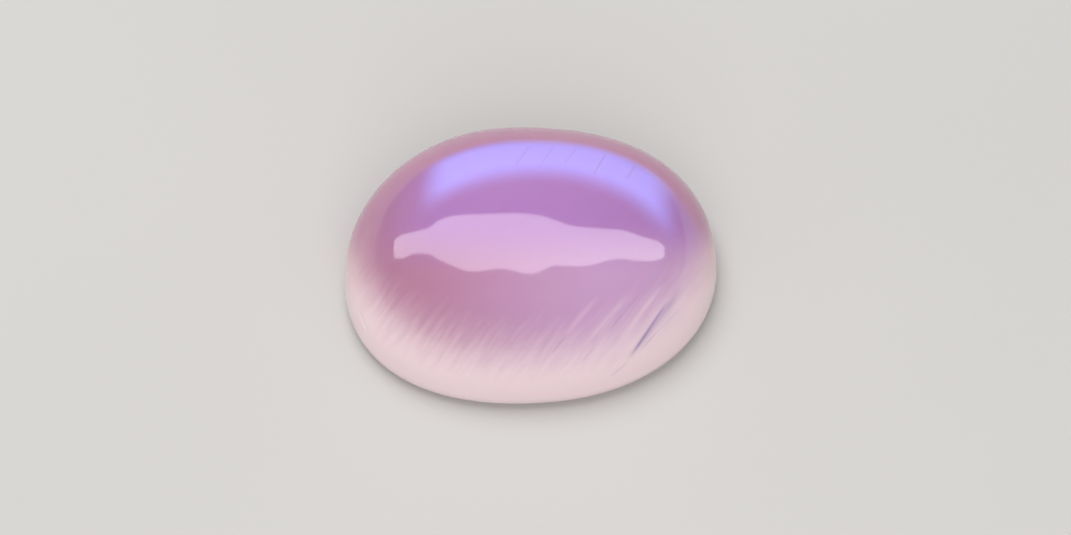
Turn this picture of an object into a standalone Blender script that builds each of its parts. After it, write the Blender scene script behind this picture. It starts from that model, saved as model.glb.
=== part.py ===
"""Oval moonstone cabochon: one polished stone with a domed top and a flat base.

The stone lies on its flat base at z = 0, its centre on the Z axis and its length along X.
It is turned as a round blank and then cut to its oval outline.
"""

import math

import bmesh
import bpy

MM = 0.001

# Driving sizes, in millimetres
LENGTH = 10.0
WIDTH = 8.0
HEIGHT = 4.2
GIRDLE_HEIGHT = 0.5      # height of the widest line above the base
GIRDLE_TUCK = 0.05       # how far the girdle draws in between its widest line and the base bevel
BASE_BEVEL = 0.18        # height and width of the small bevel round the base

# The oval outline, as the lapidary's hand left it
OUTLINE_FULLNESS = 2.16  # 2 is a true ellipse, more is squarer
EGG_OUT = 0.042          # one end is blunter than the other, in millimetres
CORNER_OUT = 0.037       # two opposite shoulders are fuller than the other two, in millimetres

# Mesh fineness
OUTLINE_STEPS = 104
DOME_RINGS = 34
GIRDLE_RINGS = 5
OUTLINE_NORMAL_STEP = 0.001     # radians, for the direction across the outline
MERGE_DISTANCE = 1e-6           # metres, small enough for the short edges round the crown
BASE_FLATNESS = 0.001           # millimetres
SHARP_ANGLE = 35                # degrees, between the wall, the bevel and the base

# Finish
STONE_COLOUR = (0.60, 0.41, 0.58, 1.0)
STONE_ROUGHNESS = 0.08
STONE_METALLIC = 0.0


def clear_scene():
    for item in list(bpy.data.objects):
        bpy.data.objects.remove(item, do_unlink=True)


def stone_collection():
    collection = bpy.data.collections.new("moonstone_cabochon")
    bpy.context.scene.collection.children.link(collection)
    return collection


def polished_moonstone():
    material = bpy.data.materials.new("polished_moonstone")
    material.use_nodes = True
    shader = material.node_tree.nodes["Principled BSDF"]
    shader.inputs["Base Color"].default_value = STONE_COLOUR
    shader.inputs["Roughness"].default_value = STONE_ROUGHNESS
    shader.inputs["Metallic"].default_value = STONE_METALLIC
    return material


def girdle_inset(height):
    """How far the wall lies inside the widest line, at a height below it."""
    depth = (GIRDLE_HEIGHT - height) / (GIRDLE_HEIGHT - BASE_BEVEL)
    return GIRDLE_TUCK * depth * depth


def blank_profile():
    """The right half of the round blank's section, from the crown down to the base's centre."""
    radius = WIDTH / 2
    dome = HEIGHT - GIRDLE_HEIGHT
    points = []
    for ring in range(DOME_RINGS + 1):
        lean = math.pi / 2 * ring / DOME_RINGS
        points.append((radius * math.sin(lean), GIRDLE_HEIGHT + dome * math.cos(lean)))
    for ring in range(1, GIRDLE_RINGS + 1):
        height = GIRDLE_HEIGHT + (BASE_BEVEL - GIRDLE_HEIGHT) * ring / GIRDLE_RINGS
        points.append((radius - girdle_inset(height), height))
    points.append((radius - GIRDLE_TUCK - BASE_BEVEL, 0.0))
    points.append((0.0, 0.0))
    return points


def turned_blank(collection):
    """Turn the profile round Z and return the closed blank as a mesh."""
    section = bpy.data.meshes.new("blank_section")
    points = [(x * MM, 0.0, z * MM) for x, z in blank_profile()]
    edges = [(index, index + 1) for index in range(len(points) - 1)]
    section.from_pydata(points, edges, [])
    turner = bpy.data.objects.new("blank_section", section)
    collection.objects.link(turner)
    screw = turner.modifiers.new("turn", "SCREW")
    screw.axis = "Z"
    screw.angle = 2 * math.pi
    screw.steps = OUTLINE_STEPS
    screw.render_steps = OUTLINE_STEPS
    screw.use_merge_vertices = True
    screw.merge_threshold = MERGE_DISTANCE
    bpy.context.view_layer.update()
    evaluated = turner.evaluated_get(bpy.context.evaluated_depsgraph_get())
    blank = bpy.data.meshes.new_from_object(evaluated)
    bpy.data.objects.remove(turner, do_unlink=True)
    bpy.data.meshes.remove(section)
    return blank


def outline_point(angle):
    """A point on the widest line, at an angle about the centre.

    The blunter end reaches further by EGG_OUT, so the whole line is set back by that much.
    """
    along = abs(math.cos(angle) / (LENGTH / 2)) ** OUTLINE_FULLNESS
    across = abs(math.sin(angle) / (WIDTH / 2)) ** OUTLINE_FULLNESS
    reach = (along + across) ** (-1 / OUTLINE_FULLNESS)
    reach += EGG_OUT * math.cos(3 * angle) + CORNER_OUT * math.sin(4 * angle)
    return reach * math.cos(angle) - EGG_OUT, reach * math.sin(angle)


def outline_normal(angle):
    """The outward direction across the widest line, at an angle about the centre."""
    before = outline_point(angle - OUTLINE_NORMAL_STEP)
    after = outline_point(angle + OUTLINE_NORMAL_STEP)
    run = (after[0] - before[0], after[1] - before[1])
    size = math.hypot(*run)
    return run[1] / size, -run[0] / size


def cut_to_oval(blank):
    """Move each point of the round blank to the oval: the dome in proportion, the rim by its inset."""
    radius = WIDTH / 2
    for vertex in blank.vertices:
        x, y, z = (value / MM for value in vertex.co)
        reach = math.hypot(x, y)
        angle = math.atan2(y, x)
        edge = outline_point(angle)
        if z >= GIRDLE_HEIGHT or reach < radius / 2:
            share = reach / radius
            place = (edge[0] * share, edge[1] * share)
        else:
            inset = radius - reach
            out = outline_normal(angle)
            place = (edge[0] - out[0] * inset, edge[1] - out[1] * inset)
        vertex.co = (place[0] * MM, place[1] * MM, z * MM)
    blank.update()


def flatten_base(blank):
    """Make the fan of faces under the stone one flat face."""
    shape = bmesh.new()
    shape.from_mesh(blank)
    level = BASE_FLATNESS * MM
    under = [face for face in shape.faces if all(vert.co.z < level for vert in face.verts)]
    bmesh.ops.dissolve_faces(shape, faces=under, use_verts=True)
    shape.to_mesh(blank)
    shape.free()


def build_moonstone():
    collection = stone_collection()
    blank = turned_blank(collection)
    cut_to_oval(blank)
    flatten_base(blank)
    blank.name = "moonstone"
    blank.materials.clear()
    blank.materials.append(polished_moonstone())
    blank.shade_smooth()
    blank.set_sharp_from_angle(angle=math.radians(SHARP_ANGLE))
    collection.objects.link(bpy.data.objects.new("moonstone", blank))


clear_scene()
build_moonstone()
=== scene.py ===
"""Looks of one polished oval moonstone cabochon, laid out as an add-on and run as a script.

A Geometry Nodes tree makes the stone's smooth skin by the same rule as the solid that it stands
for. One material gives the milk and the cleavage lines, with painted light as well: the pale
rims are a painted glow and the blue sheen is painted in, all by object coordinates. The stage
is a pale floor, soft lamps and the camera.
Lengths are metres, unless a name or a comment says millimetres.
"""

import math
from collections import namedtuple

import bmesh
import bpy
from bpy.props import FloatProperty, FloatVectorProperty, IntProperty, PointerProperty
from bpy.types import Operator, Panel, PropertyGroup
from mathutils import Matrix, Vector


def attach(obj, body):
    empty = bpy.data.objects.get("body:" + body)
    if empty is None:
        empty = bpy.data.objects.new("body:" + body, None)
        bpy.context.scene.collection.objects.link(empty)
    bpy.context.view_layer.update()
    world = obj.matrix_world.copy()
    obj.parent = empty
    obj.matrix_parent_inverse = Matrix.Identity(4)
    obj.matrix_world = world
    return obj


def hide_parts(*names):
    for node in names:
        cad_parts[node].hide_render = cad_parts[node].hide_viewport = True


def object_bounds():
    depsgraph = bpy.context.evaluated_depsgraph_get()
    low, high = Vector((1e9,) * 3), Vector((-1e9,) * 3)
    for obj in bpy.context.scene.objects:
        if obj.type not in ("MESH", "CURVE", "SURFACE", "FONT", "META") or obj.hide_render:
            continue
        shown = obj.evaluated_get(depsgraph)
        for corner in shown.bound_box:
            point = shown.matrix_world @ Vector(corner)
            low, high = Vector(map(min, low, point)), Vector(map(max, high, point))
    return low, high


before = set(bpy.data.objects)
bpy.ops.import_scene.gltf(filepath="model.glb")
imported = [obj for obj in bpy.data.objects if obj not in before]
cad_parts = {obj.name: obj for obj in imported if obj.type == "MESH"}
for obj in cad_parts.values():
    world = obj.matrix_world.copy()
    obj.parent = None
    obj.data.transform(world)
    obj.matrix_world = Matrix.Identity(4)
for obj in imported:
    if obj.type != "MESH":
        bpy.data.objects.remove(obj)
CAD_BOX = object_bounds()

bl_info = {
    "name": "Moonstone Cabochon",
    "version": (1, 0, 0),
    "blender": (4, 5, 0),
    "location": "View3D > Sidebar > Moonstone",
    "description": "Builds a polished oval moonstone cabochon and a small studio for it",
    "category": "Add Mesh",
}

MM = 0.001

# The stone's node in the frame, its body and its finish
STONE_NODE = "moonstone"
STONE_BODY = "root"

# The picture that the camera is set for, in pixels
PICTURE_WIDTH = 1071
PICTURE_HEIGHT = 535
STONE_PIXEL = (530.9, 282.2)        # where the middle of the base falls
PIXELS_PER_MM = 37.04
SENSOR_WIDTH = 36.0                 # millimetres, as Blender's cameras have it

# The way that the sheen faces, fixed in the stone. The camera stands on the same side
SHEEN_AZIMUTH = math.radians(-4.6)
SHEEN_ELEVATION = math.radians(55.8)


def colour_property(name, description, default):
    return FloatVectorProperty(
        name=name, description=description, default=default, subtype="COLOR", size=3,
        min=0.0, max=1.0)


def length_property(name, description, default):
    return FloatProperty(
        name=name, description=description, default=default, min=0.0, unit="LENGTH", precision=6)


class CabochonShape(PropertyGroup):
    """Sizes of the stone's cut."""

    length: length_property("Length", "Length of the oval", CAD_BOX[1].x - CAD_BOX[0].x)
    width: length_property("Width", "Width of the oval, before its shoulders", 8.0 * MM)
    height: length_property("Height", "From the base to the crown", CAD_BOX[1].z - CAD_BOX[0].z)
    girdle_height: length_property(
        "Girdle Height", "Height of the widest line above the base", 0.5 * MM)
    girdle_tuck: length_property(
        "Girdle Tuck", "How far the girdle draws in below its widest line", 0.05 * MM)
    base_bevel: length_property(
        "Base Bevel", "Height and width of the bevel round the base", 0.18 * MM)
    fullness: FloatProperty(
        name="Outline Fullness", description="2 is a true ellipse, more is squarer",
        default=2.16, min=1.5, max=4.0)
    blunt_end: length_property("Blunt End", "How much further the blunter end reaches", 0.042 * MM)
    full_shoulders: length_property(
        "Full Shoulders", "How much further two opposite shoulders reach", 0.037 * MM)
    wave_depth: length_property(
        "Polish Wave Depth", "Depth of the soft waves that hand polishing leaves", 0.0022 * MM)
    wave_size: length_property(
        "Polish Wave Size", "Distance from one polishing wave to the next", 1.6 * MM)
    fineness: IntProperty(
        name="Fineness", description="Faces along each side of the net that wraps the dome",
        default=184, min=8, max=200)
    wall_rows: IntProperty(
        name="Wall Rows", description="Rows of faces up the girdle wall", default=10, min=1)
    bevel_rows: IntProperty(
        name="Bevel Rows", description="Rows of faces across the base bevel", default=3, min=1)


class MoonstoneFinish(PropertyGroup):
    """Colours and gloss of the stone, with a painted glow on its rims and a painted blue sheen."""

    rose_milk: colour_property("Rose Milk", "Milk at the sharper end", (0.42, 0.20, 0.30))
    lilac_milk: colour_property("Lilac Milk", "Milk at the blunter end", (0.52, 0.32, 0.52))
    violet_depth: colour_property(
        "Violet Depth", "Milk seen deep through the crown", (0.40, 0.20, 0.46))
    # Painted glow: the near and end rims are painted paler, for light that comes through the thin
    # edge
    near_rim_glow: colour_property("Near Rim", "Pale rim on the near side", (0.82, 0.66, 0.70))
    end_rim_glow: colour_property("End Rim", "Warm rim at the two ends", (0.70, 0.46, 0.50))
    far_rim: colour_property("Far Rim", "Mauve rim on the far side", (0.44, 0.20, 0.32))
    # Painted sheen: the blue light on the far shoulder is painted into the colour
    blue_sheen: colour_property(
        "Blue Sheen", "Light that floats on the far shoulder", (0.48, 0.38, 0.92))
    cleavage: colour_property("Cleavage", "Cleavage planes seen edge on", (0.36, 0.25, 0.44))
    roughness: FloatProperty(
        name="Roughness", description="Roughness of the polish", default=0.07, min=0.0,
        max=1.0)


class StudioStage(PropertyGroup):
    """The floor, the light and the camera."""

    floor: colour_property("Floor", "Colour of the floor", (0.53, 0.52, 0.51))
    sky_strength: FloatProperty(
        name="Surround Strength", description="Light from all round", default=0.55, min=0.0)
    key_power: FloatProperty(
        name="Key Power", description="Power of the soft overhead lamp", default=0.15, min=0.0,
        unit="POWER")
    fill_power: FloatProperty(
        name="Fill Power", description="Power of the wide lamp in front", default=0.25, min=0.0,
        unit="POWER")
    film_strength: FloatProperty(
        name="Film Strength", description="Brightness of the lamp's film in reflections",
        default=4.6, min=0.0)
    elevation: FloatProperty(
        name="Elevation", description="Camera's angle above the floor", default=SHEEN_ELEVATION,
        subtype="ANGLE")
    azimuth: FloatProperty(
        name="Azimuth", description="Camera's angle round the stone", default=SHEEN_AZIMUTH,
        subtype="ANGLE")
    distance: length_property(
        "Distance", "From the camera to the middle of the base", 85.0 * MM)


def facing_axes(azimuth, elevation):
    """Right, up and back of a view from that side, as unit vectors."""
    right = Vector((math.cos(azimuth), math.sin(azimuth), 0.0))
    back = Vector((math.sin(azimuth) * math.cos(elevation),
                   -math.cos(azimuth) * math.cos(elevation), math.sin(elevation)))
    return right, back.cross(right), back


class NodeBench:
    """Lays out the nodes of one tree and joins them up."""

    COLUMNS = 12
    STEP = (180, 240)

    def __init__(self, tree):
        self.tree = tree
        self.made = 0

    def add(self, kind, **settings):
        node = self.tree.nodes.new(kind)
        node.location = (
            self.made % self.COLUMNS * self.STEP[0], -(self.made // self.COLUMNS) * self.STEP[1])
        self.made += 1
        for name, value in settings.items():
            setattr(node, name, value)
        return node

    def feed(self, socket, value):
        """Join an output to the socket, or set the socket's own value."""
        if isinstance(value, bpy.types.NodeSocket):
            self.tree.links.new(value, socket)
        elif value is not None:
            socket.default_value = value

    def dress(self, node, values):
        """Feed the node's inputs by name."""
        for name, value in values.items():
            self.feed(node.inputs[name], value)
        return node

    def group(self, tree, values):
        node = self.add(self.tree.bl_idname.replace("NodeTree", "NodeGroup"), node_tree=tree)
        return self.dress(node, values).outputs

    def given(self):
        return self.add("NodeGroupInput").outputs

    def give(self, values):
        self.dress(self.add("NodeGroupOutput"), values)

    def math(self, operation, *values, clamp=False):
        node = self.add("ShaderNodeMath", operation=operation, use_clamp=clamp)
        for socket, value in zip(node.inputs, values):
            self.feed(socket, value)
        return node.outputs[0]

    def plus(self, first, *others):
        for value in others:
            first = self.math("ADD", first, value)
        return first

    def minus(self, first, second):
        return self.math("SUBTRACT", first, second)

    def times(self, first, *others):
        for value in others:
            first = self.math("MULTIPLY", first, value)
        return first

    def over(self, first, second):
        return self.math("DIVIDE", first, second)

    def vector(self, operation, *values):
        node = self.add("ShaderNodeVectorMath", operation=operation)
        for socket, value in zip(node.inputs, values):
            self.feed(socket, value)
        by_number = operation in {"DOT_PRODUCT", "LENGTH", "DISTANCE"}
        return node.outputs["Value" if by_number else "Vector"]

    def scaled(self, vector, factor):
        node = self.add("ShaderNodeVectorMath", operation="SCALE")
        return self.dress(node, {0: vector, "Scale": factor}).outputs[0]

    def vector_of(self, x, y, z):
        node = self.add("ShaderNodeCombineXYZ")
        return self.dress(node, {0: x, 1: y, 2: z}).outputs[0]

    def parts_of(self, vector):
        return self.dress(self.add("ShaderNodeSeparateXYZ"), {0: vector}).outputs

    def rise(self, value, low, high, start=0.0, end=1.0):
        """A smooth step from start to end as the value goes from low to high."""
        node = self.add("ShaderNodeMapRange", interpolation_type="SMOOTHSTEP")
        for socket, number in zip(node.inputs, (value, low, high, start, end)):
            self.feed(socket, number)
        return node.outputs[0]

    def fall(self, value, low, high):
        return self.rise(value, low, high, 1.0, 0.0)

    def noise(self, vector, scale, detail=2.0, roughness=0.5):
        """Soft noise about one half."""
        node = self.add("ShaderNodeTexNoise")
        values = {"Vector": vector, "Scale": scale, "Detail": detail, "Roughness": roughness}
        return self.dress(node, values).outputs[0]

    def mix(self, factor, first, second, blend="MIX"):
        node = self.add("ShaderNodeMix", data_type="RGBA", blend_type=blend)
        self.feed(node.inputs[0], factor)
        for socket, value in ((node.inputs[6], first), (node.inputs[7], second)):
            plain = not isinstance(value, bpy.types.NodeSocket)
            self.feed(socket, (*value[:3], 1.0) if plain else value)
        return node.outputs[2]


def new_group(name, kind, inputs, outputs):
    """An empty node group with named sockets: name to socket type, or to (type, default)."""
    tree = bpy.data.node_groups.new(name, kind)
    for title, about in inputs.items():
        socket_type, default = about if isinstance(about, tuple) else (about, None)
        socket = tree.interface.new_socket(title, in_out="INPUT", socket_type=socket_type)
        if default is not None:
            socket.default_value = default
    for title, socket_type in outputs.items():
        tree.interface.new_socket(title, in_out="OUTPUT", socket_type=socket_type)
    return tree


NUMBER = "NodeSocketFloat"
WHOLE = "NodeSocketInt"
ARROW = "NodeSocketVector"
TINT = "NodeSocketColor"


# Cutting the stone

OUTLINE_SIZES = ("Length", "Width", "Fullness", "Blunt End", "Full Shoulders")
SECTION_SIZES = (*OUTLINE_SIZES, "Height", "Girdle Height", "Girdle Tuck", "Base Bevel")
CUT_SIZES = (*SECTION_SIZES, "Polish Wave Depth", "Polish Wave Size")
CUT_COUNTS = ("Fineness", "Wall Rows", "Bevel Rows")
PROPERTY_OF = {
    "Length": "length", "Width": "width", "Fullness": "fullness", "Blunt End": "blunt_end",
    "Full Shoulders": "full_shoulders", "Height": "height", "Girdle Height": "girdle_height",
    "Girdle Tuck": "girdle_tuck", "Base Bevel": "base_bevel", "Polish Wave Depth": "wave_depth",
    "Polish Wave Size": "wave_size", "Fineness": "fineness", "Wall Rows": "wall_rows",
    "Bevel Rows": "bevel_rows",
}
OUTLINE_TURN = 0.0005       # radians, for the direction across the outline
MERGE_DISTANCE = 1e-7
WAVE_DETAIL = 0.5
WAVE_FADE = 3.0             # girdle heights above the base where the waves reach full depth
SHARP_ANGLE = math.radians(35)


def pass_on(given, names):
    return {name: given[name] for name in names}


def outline_group():
    """Node group: the point of the widest line at an angle about the centre."""
    sizes = {name: NUMBER for name in OUTLINE_SIZES}
    tree = new_group("cabochon_outline", "GeometryNodeTree", {"Angle": NUMBER, **sizes},
                     {"Point": ARROW})
    bench = NodeBench(tree)
    given = bench.given()
    cosine = bench.math("COSINE", given["Angle"])
    sine = bench.math("SINE", given["Angle"])

    def spread(part, size):
        share = bench.math("ABSOLUTE", bench.over(part, bench.over(given[size], 2.0)))
        return bench.math("POWER", share, given["Fullness"])

    both = bench.plus(spread(cosine, "Length"), spread(sine, "Width"))
    reach = bench.math("POWER", both, bench.over(-1.0, given["Fullness"]))
    blunt = bench.times(given["Blunt End"], bench.math("COSINE", bench.times(given["Angle"], 3.0)))
    full = bench.times(
        given["Full Shoulders"], bench.math("SINE", bench.times(given["Angle"], 4.0)))
    reach = bench.plus(reach, blunt, full)
    along = bench.minus(bench.times(reach, cosine), given["Blunt End"])
    bench.give({"Point": bench.vector_of(along, bench.times(reach, sine), 0.0)})
    return tree


def section_group():
    """Node group: a point of the skin, by its angle and how far it is down each band.

    Dome, Wall, Bevel and Base each go from 0 to 1 over their own band of the section.
    """
    bands = {name: NUMBER for name in ("Angle", "Dome", "Wall", "Bevel", "Base")}
    sizes = {name: NUMBER for name in SECTION_SIZES}
    tree = new_group("cabochon_section", "GeometryNodeTree", {**bands, **sizes}, {"Point": ARROW})
    bench = NodeBench(tree)
    given = bench.given()
    outline = outline_group()

    def edge_at(turn):
        angle = bench.plus(given["Angle"], turn)
        return bench.group(outline, {"Angle": angle, **pass_on(given, OUTLINE_SIZES)})[0]

    run = bench.vector("SUBTRACT", edge_at(OUTLINE_TURN), edge_at(-OUTLINE_TURN))
    outward = bench.vector("NORMALIZE", bench.vector("CROSS_PRODUCT", run, (0.0, 0.0, 1.0)))
    lean = bench.times(given["Dome"], math.pi / 2)
    tuck = bench.times(given["Girdle Tuck"], given["Wall"], given["Wall"])
    inset = bench.plus(tuck, bench.times(given["Base Bevel"], given["Bevel"]))
    edge = bench.vector("SUBTRACT", bench.scaled(edge_at(0.0), bench.math("SINE", lean)),
                        bench.scaled(outward, inset))
    dome_rise = bench.times(
        bench.minus(given["Height"], given["Girdle Height"]), bench.math("COSINE", lean))
    wall_drop = bench.times(
        bench.minus(given["Girdle Height"], given["Base Bevel"]), given["Wall"])
    bevel_drop = bench.times(given["Base Bevel"], given["Bevel"])
    level = bench.plus(given["Girdle Height"], dome_rise)
    level = bench.minus(bench.minus(level, wall_drop), bevel_drop)
    flat = bench.scaled(edge, bench.minus(1.0, given["Base"]))
    bench.give({"Point": bench.vector("ADD", flat, bench.vector_of(0.0, 0.0, level))})
    return tree


def disc_group():
    """Node group: wraps a square net, 2 across, round the centre, and gives angle and reach."""
    tree = new_group("net_to_disc", "GeometryNodeTree", {}, {"Angle": NUMBER, "Reach": NUMBER})
    bench = NodeBench(tree)
    x, y, _ = bench.parts_of(bench.add("GeometryNodeInputPosition").outputs[0])
    steep = bench.math("GREATER_THAN", bench.math("ABSOLUTE", y), bench.math("ABSOLUTE", x))
    shallow = bench.minus(1.0, steep)
    eighth = math.pi / 4
    shallow_turn = bench.times(bench.over(y, x), eighth, shallow)
    steep_turn = bench.times(bench.minus(2.0, bench.over(x, y)), eighth, steep)
    signed = bench.plus(bench.times(x, shallow), bench.times(y, steep))
    back = bench.times(bench.math("LESS_THAN", signed, 0.0), math.pi)
    bench.give({"Angle": bench.plus(shallow_turn, steep_turn, back),
                "Reach": bench.math("ABSOLUTE", signed)})
    return tree


def cut_tree(material):
    """Geometry Nodes tree: a domed net, a flat net and a strip of wall joined in one skin."""
    inputs = {**{name: NUMBER for name in CUT_SIZES}, **{name: WHOLE for name in CUT_COUNTS}}
    tree = new_group("cabochon_cut", "GeometryNodeTree", inputs,
                     {"Geometry": "NodeSocketGeometry"})
    bench = NodeBench(tree)
    given = bench.given()
    section = section_group()
    sizes = pass_on(given, SECTION_SIZES)
    along = bench.plus(given["Fineness"], 1.0)

    def grid(width, columns, rows):
        node = bench.add("GeometryNodeMeshGrid")
        values = {"Size X": width, "Size Y": width, "Vertices X": columns, "Vertices Y": rows}
        return bench.dress(node, values).outputs["Mesh"]

    def shaped(mesh, **bands):
        place = bench.group(section, {**bands, **sizes})[0]
        node = bench.add("GeometryNodeSetPosition")
        return bench.dress(node, {"Geometry": mesh, "Position": place}).outputs[0]

    disc = bench.group(disc_group(), {})
    net = grid(2.0, along, along)
    dome = shaped(net, Angle=disc["Angle"], Dome=disc["Reach"])
    base = shaped(net, Angle=disc["Angle"], Dome=1.0, Wall=1.0, Bevel=1.0,
                  Base=bench.minus(1.0, disc["Reach"]))
    base = bench.dress(bench.add("GeometryNodeFlipFaces"), {"Mesh": base}).outputs[0]

    column, height, _ = bench.parts_of(bench.add("GeometryNodeInputPosition").outputs[0])
    angle = bench.plus(bench.times(bench.plus(column, 0.5), 2 * math.pi), -math.pi / 4)
    rows = bench.plus(given["Wall Rows"], given["Bevel Rows"])
    row = bench.math("ROUND", bench.times(bench.minus(0.5, height), rows))
    wall = bench.math("DIVIDE", row, given["Wall Rows"], clamp=True)
    bevel = bench.math(
        "DIVIDE", bench.minus(row, given["Wall Rows"]), given["Bevel Rows"], clamp=True)
    round_trip = bench.plus(bench.times(given["Fineness"], 4.0), 1.0)
    strip = shaped(grid(1.0, round_trip, bench.plus(rows, 1.0)), Angle=angle, Dome=1.0,
                   Wall=wall, Bevel=bevel)

    joined = bench.add("GeometryNodeJoinGeometry")
    for part in (dome, strip, base):
        tree.links.new(part, joined.inputs[0])
    closed = bench.add("GeometryNodeMergeByDistance")
    bench.dress(closed, {"Geometry": joined.outputs[0], "Distance": MERGE_DISTANCE})

    position = bench.add("GeometryNodeInputPosition").outputs[0]
    waves = bench.noise(position, bench.over(1.0, given["Polish Wave Size"]), WAVE_DETAIL)
    clear = bench.rise(bench.parts_of(position)[2], given["Girdle Height"],
                       bench.times(given["Girdle Height"], WAVE_FADE))
    sink = bench.times(waves, given["Polish Wave Depth"], clear, -1.0)
    offset = bench.scaled(bench.add("GeometryNodeInputNormal").outputs[0], sink)
    polished = bench.add("GeometryNodeSetPosition")
    bench.dress(polished, {"Geometry": closed.outputs[0], "Offset": offset})
    smooth = bench.add("GeometryNodeSetShadeSmooth")
    bench.feed(smooth.inputs[0], polished.outputs[0])
    real = bench.add("GeometryNodeRealizeInstances")
    bench.feed(real.inputs[0], smooth.outputs[0])
    finished = bench.add("GeometryNodeSetMaterial")
    bench.dress(finished, {"Geometry": real.outputs[0], "Material": material})
    bench.give({"Geometry": finished.outputs[0]})
    return tree


def cut_stone_mesh(shape, material):
    """Run the tree on an empty object and return its result as a plain mesh."""
    tree = cut_tree(material)
    blank = bpy.data.objects.new("cabochon_blank", bpy.data.meshes.new("cabochon_blank"))
    bpy.context.scene.collection.objects.link(blank)
    modifier = blank.modifiers.new("cut", "NODES")
    modifier.node_group = tree
    for item in tree.interface.items_tree:
        if item.in_out == "INPUT":
            modifier[item.identifier] = getattr(shape, PROPERTY_OF[item.name])
    bpy.context.view_layer.update()
    evaluated = blank.evaluated_get(bpy.context.evaluated_depsgraph_get())
    mesh = bpy.data.meshes.new_from_object(evaluated)
    bpy.data.objects.remove(blank, do_unlink=True)
    bpy.data.node_groups.remove(tree)
    return mesh


# The chip at the girdle, in millimetres
CHIP_START = Vector((-4.66, -1.40, 1.35))
CHIP_END = Vector((-4.46, -1.99, 1.07))
CHIP_HALF_WIDTH = 0.060
CHIP_DEPTH = 0.035
CHIP_FINENING = 2
CHIP_SURROUND = 0.75        # of its length, how far round its middle the faces are made finer
CHIP_TAPER = 0.6            # less is blunter


def chip_girdle(mesh):
    """Press the small chip into the skin near the girdle, in finer faces than the rest."""
    shape = bmesh.new()
    shape.from_mesh(mesh)
    middle = (CHIP_START + CHIP_END) / 2 * MM
    run = (CHIP_END - CHIP_START) * MM
    around = run.length * CHIP_SURROUND

    def near(face):
        return (face.calc_center_median() - middle).length < around

    for _ in range(CHIP_FINENING):
        edges = {edge for face in shape.faces if near(face) for edge in face.edges}
        bmesh.ops.subdivide_edges(shape, edges=list(edges), cuts=1, use_grid_fill=True)
    shape.normal_update()
    moves = []
    for vertex in shape.verts:
        rel = vertex.co - CHIP_START * MM
        share = rel.dot(run) / run.length_squared
        if not 0 < share < 1:
            continue
        width = CHIP_HALF_WIDTH * MM * math.sin(math.pi * share) ** CHIP_TAPER
        off = (rel - run * share).length
        if off < width:
            moves.append((vertex, CHIP_DEPTH * MM * (1 - off / width) * math.sin(math.pi * share)))
    for vertex, depth in moves:
        vertex.co -= vertex.normal * depth
    bmesh.ops.triangulate(shape, faces=[face for face in shape.faces if len(face.verts) > 4])
    shape.to_mesh(mesh)
    shape.free()


def build_stone(scene):
    material = moonstone_material(scene.cabochon_shape, scene.moonstone_finish)
    mesh = cut_stone_mesh(scene.cabochon_shape, material)
    mesh.name = "polished_moonstone"
    chip_girdle(mesh)
    mesh.shade_smooth()
    mesh.set_sharp_from_angle(angle=SHARP_ANGLE)
    stone = bpy.data.objects.new("polished_moonstone", mesh)
    scene.collection.objects.link(stone)
    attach(stone, STONE_BODY)
    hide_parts(STONE_NODE)


# The finish of the stone. Its patterns are laid out on the sheen plane, which is square to the
# direction that the sheen faces, in millimetres right and up from the middle of the base.

def bearings_group(shape):
    """Node group: where a point of the skin lies, and how far the skin there leans."""
    outputs = {"Sheen Plane": ARROW, "Height": NUMBER, "Sideways": NUMBER, "Upward": NUMBER,
               "Facing": NUMBER}
    tree = new_group("stone_bearings", "ShaderNodeTree", {}, outputs)
    bench = NodeBench(tree)
    where = bench.add("ShaderNodeTexCoord").outputs["Object"]
    place = bench.scaled(where, 1 / MM)
    half = Vector((shape.length / 2, shape.width / 2, shape.height - shape.girdle_height)) / MM
    level = shape.girdle_height / MM
    bulge = bench.vector("MULTIPLY", bench.vector("SUBTRACT", place, (0.0, 0.0, level)),
                         tuple(1 / size ** 2 for size in half))
    normal = bench.vector("NORMALIZE", bulge)
    right, up, back = facing_axes(SHEEN_AZIMUTH, SHEEN_ELEVATION)
    plane = bench.vector_of(bench.vector("DOT_PRODUCT", place, tuple(right)),
                            bench.vector("DOT_PRODUCT", place, tuple(up)), 0.0)
    bench.give({
        "Sheen Plane": plane, "Height": bench.parts_of(place)[2],
        "Sideways": bench.vector("DOT_PRODUCT", normal, tuple(right)),
        "Upward": bench.vector("DOT_PRODUCT", normal, tuple(up)),
        "Facing": bench.vector("DOT_PRODUCT", normal, tuple(back)),
    })
    return tree


def stroke_group():
    """Node group: a soft straight stroke on the sheen plane, from Start to End."""
    inputs = {"Sheen Plane": ARROW, "Start": ARROW, "End": ARROW, "Half Width": (NUMBER, 0.03),
              "Fade": (NUMBER, 0.3)}
    tree = new_group("soft_stroke", "ShaderNodeTree", inputs, {"Mask": NUMBER})
    bench = NodeBench(tree)
    given = bench.given()
    run = bench.vector("SUBTRACT", given["End"], given["Start"])
    rel = bench.vector("SUBTRACT", given["Sheen Plane"], given["Start"])
    length = bench.vector("LENGTH", run)
    along = bench.over(bench.vector("DOT_PRODUCT", rel, run), length)
    across = bench.over(
        bench.vector("LENGTH", bench.vector("CROSS_PRODUCT", rel, run)), length)
    body = bench.fall(across, 0.0, given["Half Width"])
    start = bench.rise(along, 0.0, given["Fade"])
    end = bench.fall(along, bench.minus(length, given["Fade"]), length)
    bench.give({"Mask": bench.times(body, start, end)})
    return tree


Stroke = namedtuple("Stroke", "start end half_width fade strength")

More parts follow.
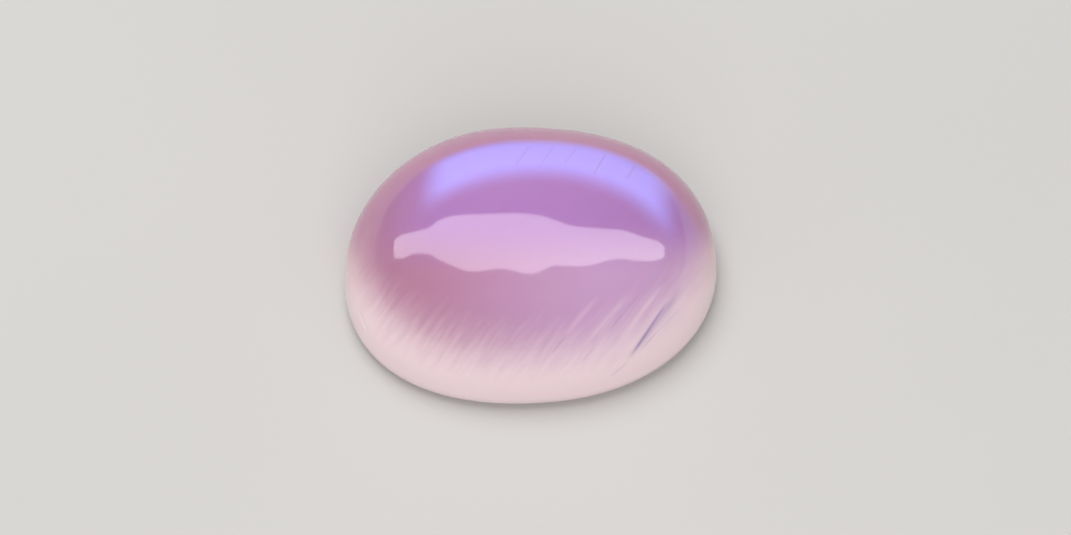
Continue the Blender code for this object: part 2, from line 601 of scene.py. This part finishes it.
# Fine dark cleavage lines that cross the blue band, left to right
BLUE_BAND_LINES = (
    Stroke((-0.01, 3.62), (-0.42, 3.03), 0.022, 0.12, 0.50),
    Stroke((0.62, 3.60), (0.24, 3.05), 0.022, 0.14, 0.42),
    Stroke((1.24, 3.56), (0.84, 3.08), 0.022, 0.12, 0.50),
    Stroke((2.00, 3.42), (1.62, 2.80), 0.024, 0.12, 0.62),
    Stroke((2.80, 3.18), (2.48, 2.66), 0.024, 0.12, 0.55),
)

# Darker cleavage streaks that fan across the near right quarter
DARK_STREAKS = (
    Stroke((4.10, 0.05), (2.42, -2.12), 0.13, 0.9, 0.42),
    Stroke((3.60, -0.42), (2.55, -2.00), 0.060, 0.5, 0.55),
    Stroke((3.96, -0.60), (2.75, -1.86), 0.050, 0.5, 0.32),
    Stroke((2.20, -0.70), (1.50, -1.62), 0.035, 0.3, 0.35),
    Stroke((3.00, -0.10), (1.90, -1.35), 0.050, 0.5, 0.26),
    Stroke((1.36, -0.50), (0.70, -1.34), 0.035, 0.3, 0.30),
    Stroke((0.98, -1.30), (0.46, -1.92), 0.030, 0.2, 0.24),
    Stroke((1.70, -1.60), (1.28, -2.10), 0.035, 0.2, 0.22),
    Stroke((2.62, -2.00), (2.00, -2.52), 0.045, 0.3, 0.22),
)

# Lighter streaks between them
LIGHT_STREAKS = (
    Stroke((3.55, 0.10), (2.20, -1.60), 0.10, 0.7, 0.34),
    Stroke((4.20, -0.20), (2.95, -1.75), 0.10, 0.6, 0.40),
    Stroke((2.60, -0.20), (1.30, -1.75), 0.12, 0.7, 0.24),
    Stroke((1.80, -0.25), (0.70, -1.60), 0.11, 0.6, 0.18),
)


def strokes_mask(bench, group, plane, strokes):
    """All the strokes of one set in one mask."""
    masks = []
    for stroke in strokes:
        values = {"Sheen Plane": plane, "Start": (*stroke.start, 0.0), "End": (*stroke.end, 0.0),
                  "Half Width": stroke.half_width, "Fade": stroke.fade}
        masks.append(bench.times(bench.group(group, values)[0], stroke.strength))
    return bench.math("MINIMUM", bench.plus(*masks), 1.0)


STREAK_SLOPE = math.radians(53.5)       # of the cleavage planes, seen along the sheen

# Where each colour begins and ends. A lean is the skin's direction measured along one of the
# sheen's axes, from -1 to 1, and a level is in millimetres above the base
MILK_TURN = (-0.62, 0.45)               # sideways lean, from rose to lilac
VIOLET_START = (0.02, 0.42)             # upward lean
VIOLET_ROSE_END = (-0.85, -0.3)         # sideways lean
# The near and end rims are a painted glow, for light that comes through the thin edge
NEAR_RIM_GLOW_LEVELS = (1.1, 3.1)
NEAR_RIM_GLOW_LEANS = (-0.25, 0.35)          # upward
END_RIM_GLOW_LEVELS = (1.0, 2.9)
END_RIM_GLOW_LEANS = (0.55, 0.95)            # sideways, either way
FAR_RIM_LEANS = (0.40, 0.56)            # facing
FAR_RIM_START = (0.1, 0.5)              # upward
BLUE_OUTER_EDGE = (0.42, 0.53)          # facing
BLUE_INNER_EDGE = (0.66, 0.80)          # facing
BLUE_ROSE_END = (-0.50, -0.33)          # sideways
BLUE_LILAC_END = (0.50, 0.70)           # sideways
BLUE_START = (0.15, 0.40)               # upward

# The combed edge between the milk and the near rim's painted glow
COMB_ACROSS = 7.0                       # strokes to 1 mm across the cleavage planes
COMB_ALONG = 1.1                        # and along them
COMB_DEPTH = 0.55                       # millimetres


def streaky_noise(bench, plane, across_scale, along_scale):
    """Noise drawn out along the cleavage planes, about one half."""
    along = (math.cos(STREAK_SLOPE), math.sin(STREAK_SLOPE), 0.0)
    across = (math.sin(STREAK_SLOPE), -math.cos(STREAK_SLOPE), 0.0)
    drawn = bench.vector_of(
        bench.times(bench.vector("DOT_PRODUCT", plane, across), across_scale),
        bench.times(bench.vector("DOT_PRODUCT", plane, along), along_scale), 0.0)
    return bench.noise(drawn, 1.0, detail=1.0)


def milk_colour(bench, finish, at):
    """Rose milk at one end, lilac at the other and violet where the crown is deep."""
    side = bench.rise(at["Sideways"], *MILK_TURN)
    milk = bench.mix(side, finish.rose_milk, finish.lilac_milk)
    deep = bench.times(bench.rise(at["Upward"], *VIOLET_START),
                       bench.rise(at["Sideways"], *VIOLET_ROSE_END))
    return bench.mix(deep, milk, finish.violet_depth)


def rim_colour(bench, finish, at, colour):
    """Rims: a painted glow of light through the thin edge, pale pink on the near side and warmer
    at the ends; mauve on the far side.
    """
    comb = bench.minus(streaky_noise(bench, at["Sheen Plane"], COMB_ACROSS, COMB_ALONG), 0.5)
    level = bench.plus(at["Height"], bench.times(comb, COMB_DEPTH))
    near = bench.times(bench.fall(level, *NEAR_RIM_GLOW_LEVELS),
                       bench.fall(at["Upward"], *NEAR_RIM_GLOW_LEANS))
    end = bench.times(bench.fall(at["Height"], *END_RIM_GLOW_LEVELS),
                      bench.rise(bench.math("ABSOLUTE", at["Sideways"]), *END_RIM_GLOW_LEANS))
    far = bench.times(bench.fall(at["Facing"], *FAR_RIM_LEANS),
                      bench.rise(at["Upward"], *FAR_RIM_START))
    # Painted glow on the end and near rims, paler where light comes through the thin edge
    colour = bench.mix(end, colour, finish.end_rim_glow)
    colour = bench.mix(near, colour, finish.near_rim_glow)
    return bench.mix(far, colour, finish.far_rim)


def painted_sheen_mask(bench, at):
    """The crescent of blue light on the far shoulder, a painted sheen fixed in place in the
    colour.
    """
    band = bench.times(bench.rise(at["Facing"], *BLUE_OUTER_EDGE),
                       bench.fall(at["Facing"], *BLUE_INNER_EDGE))
    ends = bench.times(bench.rise(at["Sideways"], *BLUE_ROSE_END),
                       bench.fall(at["Sideways"], *BLUE_LILAC_END))
    return bench.times(band, ends, bench.rise(at["Upward"], *BLUE_START))


REFRACTION = 1.52
MILK_WEIGHT = 0.7                       # how much light goes through the milk
MILK_REACH = 0.9 * MM                   # how far it goes
MILK_TINT = (1.0, 0.75, 0.8)            # red goes a little further


def moonstone_material(shape, finish):
    material = bpy.data.materials.new("polished_moonstone")
    material.use_nodes = True
    material.node_tree.nodes.clear()
    bench = NodeBench(material.node_tree)
    at = bench.group(bearings_group(shape), {})
    plane = at["Sheen Plane"]
    stroke = stroke_group()

    colour = milk_colour(bench, finish, at)
    colour = rim_colour(bench, finish, at, colour)
    blue = painted_sheen_mask(bench, at)
    # Painted sheen: the blue light is painted into the colour, fixed on the far shoulder
    colour = bench.mix(blue, colour, finish.blue_sheen)
    lines = bench.times(strokes_mask(bench, stroke, plane, BLUE_BAND_LINES), blue)
    colour = bench.mix(lines, colour, finish.cleavage)
    dark = strokes_mask(bench, stroke, plane, DARK_STREAKS)
    colour = bench.mix(dark, colour, finish.cleavage)
    light = strokes_mask(bench, stroke, plane, LIGHT_STREAKS)
    # The lighter streaks are the stone's own, drawn in the pale colour of the near rim's painted
    # glow
    colour = bench.mix(light, colour, finish.near_rim_glow)

    shader = bench.add("ShaderNodeBsdfPrincipled")
    bench.dress(shader, {
        "Base Color": colour, "Roughness": finish.roughness, "IOR": REFRACTION,
        "Subsurface Weight": MILK_WEIGHT, "Subsurface Radius": MILK_TINT,
        "Subsurface Scale": MILK_REACH,
    })
    result = bench.add("ShaderNodeOutputMaterial")
    bench.feed(result.inputs["Surface"], shader.outputs[0])
    return material


# The stage

FLOOR_SIZE = 1.2
FLOOR_MOTTLE_SCALE = 40.0
FLOOR_MOTTLE_DETAIL = 3.0
FLOOR_MOTTLE_SPREAD = (0.2, 0.8)    # of the noise, from the darkest to the palest
FLOOR_MOTTLE = (0.985, 1.015)       # darkest and palest of its colour
FLOOR_ROUGHNESS = 0.9
SURROUND_COLOUR = (1.0, 0.99, 0.98)
SURROUND_IN_GLOSS = (0.34, 0.24, 0.30)
KEY_PLACE = (-0.02, 0.03, 0.15)
KEY_SIZE = 0.11
FILL_ELEVATION = math.radians(35)
FILL_DISTANCE = 0.25
FILL_SIZE = 0.20
CLIP_START = 0.001
CLIP_END = 10.0

# The lamp's film is laid out so that its reflection falls on this part of the picture, in pixels
FILM_LEFT = 384
FILM_RIGHT = 676
FILM_TOP = 200
FILM_FOOT = 290
FILM_DISTANCE = 0.12
FILM_COLOUR = (1.0, 0.97, 1.0, 1.0)
FILM_EDGE = (-1.0, 1.5)             # pixels over which an edge comes up
FILM_LEFT_END = (392.0, 394.0)
FILM_RIGHT_END = (666.0, 668.0)
FILM_COLUMNS = 96
FILM_ROWS = 32
SIGHT_STEPS = 40                    # halvings, to find where a sight line meets the dome


def lay_floor(stage):
    half = FLOOR_SIZE / 2
    mesh = bpy.data.meshes.new("floor")
    corners = [(-half, -half, 0.0), (half, -half, 0.0), (half, half, 0.0), (-half, half, 0.0)]
    mesh.from_pydata(corners, [], [(0, 1, 2, 3)])
    material = bpy.data.materials.new("pale_floor")
    material.use_nodes = True
    bench = NodeBench(material.node_tree)
    shader = material.node_tree.nodes["Principled BSDF"]
    where = bench.add("ShaderNodeTexCoord").outputs["Object"]
    mottle = bench.noise(where, FLOOR_MOTTLE_SCALE, detail=FLOOR_MOTTLE_DETAIL)
    shade = bench.rise(mottle, *FLOOR_MOTTLE_SPREAD, *FLOOR_MOTTLE)
    bench.feed(shader.inputs["Base Color"],
               bench.mix(1.0, stage.floor, bench.vector_of(shade, shade, shade), "MULTIPLY"))
    shader.inputs["Roughness"].default_value = FLOOR_ROUGHNESS
    shader.inputs["Specular IOR Level"].default_value = 0.0
    mesh.materials.append(material)
    floor = bpy.data.objects.new("floor", mesh)
    bpy.context.scene.collection.objects.link(floor)


def light_surround(scene, stage):
    """Pale light from all round, which polished surfaces see dimmer."""
    world = bpy.data.worlds.new("pale_surround")
    world.use_nodes = True
    bench = NodeBench(world.node_tree)
    world.node_tree.nodes.clear()
    in_gloss = bench.add("ShaderNodeLightPath").outputs["Is Glossy Ray"]
    colour = bench.mix(in_gloss, SURROUND_COLOUR, SURROUND_IN_GLOSS)
    background = bench.add("ShaderNodeBackground")
    bench.dress(background, {"Color": colour, "Strength": stage.sky_strength})
    result = bench.add("ShaderNodeOutputWorld")
    bench.feed(result.inputs["Surface"], background.outputs[0])
    scene.world = world


def hang_lamp(name, place, aim, size, power):
    lamp = bpy.data.lights.new(name, "AREA")
    lamp.shape = "DISK"
    lamp.size = size
    lamp.energy = power
    holder = bpy.data.objects.new(name, lamp)
    holder.location = place
    holder.rotation_euler = (aim - place).to_track_quat("-Z", "Y").to_euler()
    holder.visible_glossy = False
    bpy.context.scene.collection.objects.link(holder)


def dome_level(shape, point):
    """Below zero inside the dome, above zero outside; with the direction across the skin."""
    power = shape.fullness
    across = (abs(point.x) / (shape.length / 2), abs(point.y) / (shape.width / 2))
    rise = shape.height - shape.girdle_height
    up = (point.z - shape.girdle_height) / rise
    spread = across[0] ** power + across[1] ** power
    level = spread ** (2 / power) + up * up - 1
    pull = spread ** (2 / power - 1) if spread > 0 else 0.0
    normal = Vector((
        math.copysign(pull * across[0] ** (power - 1) / (shape.length / 2), point.x),
        math.copysign(pull * across[1] ** (power - 1) / (shape.width / 2), point.y),
        up / rise))
    return level, normal.normalized()


def mirrored_ray(stage, shape, pixel_x, pixel_y):
    """Where the sight line through a pixel meets the dome, and which way it is thrown back."""
    right, up, back = facing_axes(stage.azimuth, stage.elevation)
    eye = camera_place(stage)
    across = (pixel_x - PICTURE_WIDTH / 2) * MM / PIXELS_PER_MM
    down = (pixel_y - PICTURE_HEIGHT / 2) * MM / PIXELS_PER_MM
    sight = (right * across - up * down - back * stage.distance).normalized()
    near, far = stage.distance - shape.length, stage.distance + shape.length
    for _ in range(SIGHT_STEPS):
        middle = (near + far) / 2
        inside = dome_level(shape, eye + sight * middle)[0] < 0
        near, far = (near, middle) if inside else (middle, far)
    point = eye + sight * far
    normal = dome_level(shape, point)[1]
    return point, sight - normal * 2 * sight.dot(normal)


def hang_film(stage, shape):
    """A sheet of lamp film overhead, whose reflection fills a rectangle of the picture."""
    points, places = [], []
    for row in range(FILM_ROWS + 1):
        for column in range(FILM_COLUMNS + 1):
            share = (column / FILM_COLUMNS, row / FILM_ROWS)
            across = FILM_LEFT + (FILM_RIGHT - FILM_LEFT) * share[0]
            down = FILM_FOOT + (FILM_TOP - FILM_FOOT) * share[1]
            point, way = mirrored_ray(stage, shape, across, down)
            points.append(point + way * FILM_DISTANCE)
            places.append(share)
    faces = []
    beside = FILM_COLUMNS + 1
    for row in range(FILM_ROWS):
        for column in range(FILM_COLUMNS):
            first = row * beside + column
            faces.append((first, first + 1, first + beside + 1, first + beside))
    mesh = bpy.data.meshes.new("lamp_film")
    mesh.from_pydata(points, [], faces)
    layer = mesh.uv_layers.new(name="film")
    for loop in mesh.loops:
        layer.data[loop.index].uv = places[loop.vertex_index]
    mesh.materials.append(film_material(stage))
    film = bpy.data.objects.new("lamp_film", mesh)
    bpy.context.scene.collection.objects.link(film)
    for ray in ("camera", "diffuse", "transmission", "volume_scatter", "shadow"):
        setattr(film, "visible_" + ray, False)


# Edges of the lamp's reflection in the picture, in pixels, left to right
UPPER_EDGE = ((392, 246), (400, 233), (415, 229), (428, 226), (440, 218), (455, 214),
              (490, 213), (520, 213), (545, 216), (575, 226), (600, 229), (625, 232),
              (645, 239), (658, 243), (667, 252))
LOWER_EDGE = ((392, 250), (400, 256), (415, 252), (428, 252), (440, 258), (455, 265),
              (475, 271), (505, 269), (530, 274), (555, 266), (590, 266), (620, 260),
              (645, 263), (660, 262), (667, 254))


def edge_curve(bench, where, points):
    """The height of an edge, in pixels down the picture, above a place along it."""
    node = bench.add("ShaderNodeFloatCurve")
    curve = node.mapping.curves[0]
    span = FILM_RIGHT - FILM_LEFT
    depth = FILM_FOOT - FILM_TOP
    shares = [((x - FILM_LEFT) / span, (y - FILM_TOP) / depth) for x, y in points]
    curve.points[0].location = shares[0]
    curve.points[1].location = shares[-1]
    for share in shares[1:-1]:
        curve.points.new(*share)
    node.mapping.update()
    height = bench.dress(node, {"Factor": 1.0, "Value": where}).outputs[0]
    return bench.plus(bench.times(height, float(depth)), float(FILM_TOP))


def film_material(stage):
    """Film over a strip lamp: an even glow between the two edges."""
    material = bpy.data.materials.new("lamp_film")
    material.use_nodes = True
    material.node_tree.nodes.clear()
    bench = NodeBench(material.node_tree)
    u, v, _ = bench.parts_of(bench.add("ShaderNodeUVMap", uv_map="film").outputs[0])
    x = bench.plus(bench.times(u, float(FILM_RIGHT - FILM_LEFT)), float(FILM_LEFT))
    y = bench.minus(float(FILM_FOOT), bench.times(v, float(FILM_FOOT - FILM_TOP)))
    upper = edge_curve(bench, u, UPPER_EDGE)
    lower = edge_curve(bench, u, LOWER_EDGE)
    inside = bench.times(bench.rise(bench.minus(y, upper), *FILM_EDGE),
                         bench.rise(bench.minus(lower, y), *FILM_EDGE),
                         bench.rise(x, *FILM_LEFT_END), bench.fall(x, *FILM_RIGHT_END))
    strength = bench.times(inside, stage.film_strength)
    glow = bench.add("ShaderNodeEmission")
    bench.dress(glow, {"Color": FILM_COLOUR, "Strength": strength})
    result = bench.add("ShaderNodeOutputMaterial")
    bench.feed(result.inputs["Surface"], glow.outputs[0])
    return material


def camera_place(stage):
    """Where the camera stands, for the middle of the base to fall on its pixel."""
    right, up, back = facing_axes(stage.azimuth, stage.elevation)
    across = (PICTURE_WIDTH / 2 - STONE_PIXEL[0]) * MM / PIXELS_PER_MM
    down = (PICTURE_HEIGHT / 2 - STONE_PIXEL[1]) * MM / PIXELS_PER_MM
    return back * stage.distance + right * across - up * down


def place_camera(scene, stage):
    back = facing_axes(stage.azimuth, stage.elevation)[2]
    data = bpy.data.cameras.new("picture_camera")
    data.sensor_width = SENSOR_WIDTH
    data.lens = SENSOR_WIDTH * PIXELS_PER_MM * stage.distance / MM / PICTURE_WIDTH
    data.clip_start = CLIP_START
    data.clip_end = CLIP_END
    camera = bpy.data.objects.new("picture_camera", data)
    camera.location = camera_place(stage)
    camera.rotation_euler = (-back).to_track_quat("-Z", "Y").to_euler()
    scene.collection.objects.link(camera)
    scene.camera = camera


def set_stage(scene):
    stage = scene.studio_stage
    lay_floor(stage)
    light_surround(scene, stage)
    middle = Vector((0.0, 0.0, scene.cabochon_shape.height / 2))
    hang_lamp("key_lamp", Vector(KEY_PLACE), middle, KEY_SIZE, stage.key_power)
    back = facing_axes(stage.azimuth, FILL_ELEVATION)[2]
    hang_lamp("fill_lamp", back * FILL_DISTANCE, middle, FILL_SIZE, stage.fill_power)
    hang_film(stage, scene.cabochon_shape)
    place_camera(scene, stage)
    scene.view_settings.view_transform = "Standard"


class MOONSTONE_OT_cut_stone(Operator):
    """Cut and polish the moonstone cabochon"""

    bl_idname = "moonstone.cut_stone"
    bl_label = "Cut Stone"
    bl_options = {"REGISTER", "UNDO"}

    def execute(self, context):
        build_stone(context.scene)
        return {"FINISHED"}


class MOONSTONE_OT_set_stage(Operator):
    """Lay the floor, hang the lamps and place the camera"""

    bl_idname = "moonstone.set_stage"
    bl_label = "Set Stage"
    bl_options = {"REGISTER", "UNDO"}

    def execute(self, context):
        set_stage(context.scene)
        return {"FINISHED"}


class MOONSTONE_PT_sidebar(Panel):
    """Lists the stone's and the stage's settings"""

    bl_idname = "MOONSTONE_PT_sidebar"
    bl_label = "Moonstone Cabochon"
    bl_space_type = "VIEW_3D"
    bl_region_type = "UI"
    bl_category = "Moonstone"

    def draw(self, context):
        scene = context.scene
        for title, settings, operator in (
                ("Cut", scene.cabochon_shape, MOONSTONE_OT_cut_stone),
                ("Finish", scene.moonstone_finish, None),
                ("Stage", scene.studio_stage, MOONSTONE_OT_set_stage)):
            box = self.layout.box()
            box.label(text=title)
            for name in settings.bl_rna.properties.keys():
                if name not in {"rna_type", "name"}:
                    box.prop(settings, name)
            if operator:
                box.operator(operator.bl_idname)


CLASSES = (CabochonShape, MoonstoneFinish, StudioStage, MOONSTONE_OT_cut_stone,
           MOONSTONE_OT_set_stage, MOONSTONE_PT_sidebar)


def register():
    for item in CLASSES:
        bpy.utils.register_class(item)
    bpy.types.Scene.cabochon_shape = PointerProperty(type=CabochonShape)
    bpy.types.Scene.moonstone_finish = PointerProperty(type=MoonstoneFinish)
    bpy.types.Scene.studio_stage = PointerProperty(type=StudioStage)


def unregister():
    del bpy.types.Scene.studio_stage
    del bpy.types.Scene.moonstone_finish
    del bpy.types.Scene.cabochon_shape
    for item in reversed(CLASSES):
        bpy.utils.unregister_class(item)


def main():
    register()
    bpy.ops.moonstone.cut_stone()
    bpy.ops.moonstone.set_stage()


if __name__ == "__main__":
    main()
